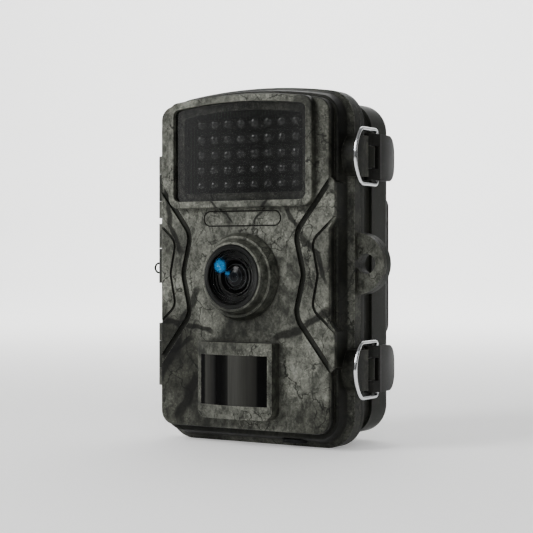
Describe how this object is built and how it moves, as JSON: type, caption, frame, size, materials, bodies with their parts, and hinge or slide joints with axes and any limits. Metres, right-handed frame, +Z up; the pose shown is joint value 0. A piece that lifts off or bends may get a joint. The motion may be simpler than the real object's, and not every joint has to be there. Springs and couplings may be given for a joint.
{
  "type": "trail camera",
  "caption": "Clamshell trail camera with an infrared lamp window, hooded lens, motion sensor, padlock tabs, side hinge and wire draw latches.",
  "frame": {"origin": "centre of the mouth of the tripod socket, on the plane that the camera stands on", "axes": "+Z up; the lens looks along -Y; +X is to the right seen from the front, where the latches are"},
  "size_m": [0.1062, 0.0589, 0.1355],
  "materials": {
    "camo_abs": "textured ABS with a bark camouflage film",
    "black_abs": "fine-textured black ABS",
    "latch_abs": "satin black ABS",
    "chrome_wire": "bright plated steel wire",
    "zinc_steel": "zinc-plated steel",
    "screw_steel": "plated steel",
    "brass_insert": "turned brass",
    "seal_rubber": "black silicone rubber",
    "smoked_acrylic": "polished smoked acrylic",
    "led_epoxy": "clear epoxy",
    "photocell": "dark resin",
    "black_board": "black solder mask",
    "green_board": "green solder mask",
    "lens_black": "black anodised and moulded black",
    "coated_glass": "coated optical glass",
    "filter_glass": "infrared-blocking glass",
    "silicon": "black epoxy package",
    "coil_black": "moulded coil body",
    "pir_plastic": "glossy infrared-clear polyethylene, tinted black",
    "nickel_can": "nickel-plated steel",
    "speaker_black": "black moulding",
    "jack_black": "black nylon",
    "chassis_abs": "spark-textured black ABS",
    "key_plastic": "grey silicone-coated caps",
    "knob_plastic": "orange-red nylon",
    "lcd_glass": "dark display glass",
    "clear_acrylic": "clear acrylic",
    "card_plastic": "black moulding",
    "cell_jacket": "printed shrink sleeve",
    "contact_nickel": "nickel-plated spring steel"
  },
  "bodies": {
    "root": {"rear_shell": "black_abs", "strap_bracket": "black_abs", "bracket_screws": "screw_steel", "tripod_insert": "brass_insert", "hinge_pin": "zinc_steel", "latch_pins": "zinc_steel", "gasket": "seal_rubber"},
    "front": {"front_shell": "camo_abs", "chassis_screws": "screw_steel", "board_screws": "screw_steel", "ir_window": "smoked_acrylic", "ir_leds": "led_epoxy", "light_sensor": "photocell", "ir_board": "black_board", "camera_board": "green_board", "pir_board": "green_board", "main_board": "green_board", "lens_ring": "lens_black", "lens_barrel": "lens_black", "lens_holder": "lens_black", "cover_glass": "coated_glass", "lens_glass": "coated_glass", "rear_lens": "coated_glass", "image_sensor": "silicon", "main_chip": "silicon", "filter_coil": "coil_black", "pir_lens": "pir_plastic", "pir_sensor": "nickel_can", "sd_slot": "nickel_can", "usb_port": "nickel_can", "speaker": "speaker_black", "microphone": "speaker_black", "dc_jack": "jack_black", "power_switch": "jack_black", "key_switches": "jack_black", "chassis": "chassis_abs", "lcd_panel": "lcd_glass", "lcd_window": "clear_acrylic", "battery_cells": "cell_jacket", "battery_springs": "contact_nickel", "battery_contacts": "contact_nickel"},
    "lever_upper": {"lever_upper": "latch_abs"},
    "lever_lower": {"lever_lower": "latch_abs"},
    "bail_upper": {"bail_upper": "chrome_wire"},
    "bail_lower": {"bail_lower": "chrome_wire"},
    "dc_plug": {"dc_plug": "seal_rubber"},
    "ir_cut_filter": {"ir_cut_filter": "filter_glass"},
    "key_down": {"key_down": "key_plastic"},
    "key_left": {"key_left": "key_plastic"},
    "key_menu": {"key_menu": "key_plastic"},
    "key_ok": {"key_ok": "key_plastic"},
    "key_replay": {"key_replay": "key_plastic"},
    "key_right": {"key_right": "key_plastic"},
    "key_shot": {"key_shot": "key_plastic"},
    "key_up": {"key_up": "key_plastic"},
    "power_knob": {"power_knob": "knob_plastic"},
    "sd_card": {"sd_card": "card_plastic"}
  },
  "joints": [
    {"name": "case_hinge", "type": "hinge", "parent": "root", "child": "front", "pos_m": [-0.0463, -0.0138, 0.0655], "axis": [0, 0, -1], "range_deg": [0, 120]},
    {"name": "lever_upper_pivot", "type": "hinge", "parent": "root", "child": "lever_upper", "pos_m": [0.0444, -0.0116, 0.1081], "axis": [0, 0, -1], "range_deg": [0, 100]},
    {"name": "bail_upper_pivot", "type": "hinge", "parent": "lever_upper", "child": "bail_upper", "pos_m": [0.0456, -0.0082, 0.1081], "axis": [0, 0, 1], "range_deg": [0, 135]},
    {"name": "lever_lower_pivot", "type": "hinge", "parent": "root", "child": "lever_lower", "pos_m": [0.0444, -0.0116, 0.0295], "axis": [0, 0, -1], "range_deg": [0, 100]},
    {"name": "bail_lower_pivot", "type": "hinge", "parent": "lever_lower", "child": "bail_lower", "pos_m": [0.0456, -0.0082, 0.0295], "axis": [0, 0, 1], "range_deg": [0, 135]},
    {"name": "key_menu_press", "type": "slide", "parent": "front", "child": "key_menu", "axis": [0, -1, 0], "range_m": [0, 0.0005], "stiffness_N_per_m": 600},
    {"name": "key_shot_press", "type": "slide", "parent": "front", "child": "key_shot", "axis": [0, -1, 0], "range_m": [0, 0.0005], "stiffness_N_per_m": 600},
    {"name": "key_replay_press", "type": "slide", "parent": "front", "child": "key_replay", "axis": [0, -1, 0], "range_m": [0, 0.0005], "stiffness_N_per_m": 600},
    {"name": "key_up_press", "type": "slide", "parent": "front", "child": "key_up", "axis": [0, -1, 0], "range_m": [0, 0.0005], "stiffness_N_per_m": 600},
    {"name": "key_down_press", "type": "slide", "parent": "front", "child": "key_down", "axis": [0, -1, 0], "range_m": [0, 0.0005], "stiffness_N_per_m": 600},
    {"name": "key_left_press", "type": "slide", "parent": "front", "child": "key_left", "axis": [0, -1, 0], "range_m": [0, 0.0005], "stiffness_N_per_m": 600},
    {"name": "key_right_press", "type": "slide", "parent": "front", "child": "key_right", "axis": [0, -1, 0], "range_m": [0, 0.0005], "stiffness_N_per_m": 600},
    {"name": "key_ok_press", "type": "slide", "parent": "front", "child": "key_ok", "axis": [0, -1, 0], "range_m": [0, 0.0005], "stiffness_N_per_m": 600},
    {"name": "power_slide", "type": "slide", "parent": "front", "child": "power_knob", "axis": [1, 0, 0], "range_m": [0, 0.005]},
    {"name": "card_slide", "type": "slide", "parent": "front", "child": "sd_card", "axis": [1, 0, 0], "range_m": [0, 0.002]},
    {"name": "plug_slide", "type": "slide", "parent": "front", "child": "dc_plug", "axis": [0, 0, -1], "range_m": [0, 0.007]},
    {"name": "filter_slide", "type": "slide", "parent": "front", "child": "ir_cut_filter", "axis": [1, 0, 0], "range_m": [0, 0.0042]}
  ],
  "couplings": [
    {"joint": "bail_upper_pivot", "follows": "lever_upper_pivot", "ratio": 1.35},
    {"joint": "bail_lower_pivot", "follows": "lever_lower_pivot", "ratio": 1.35}
  ]
}
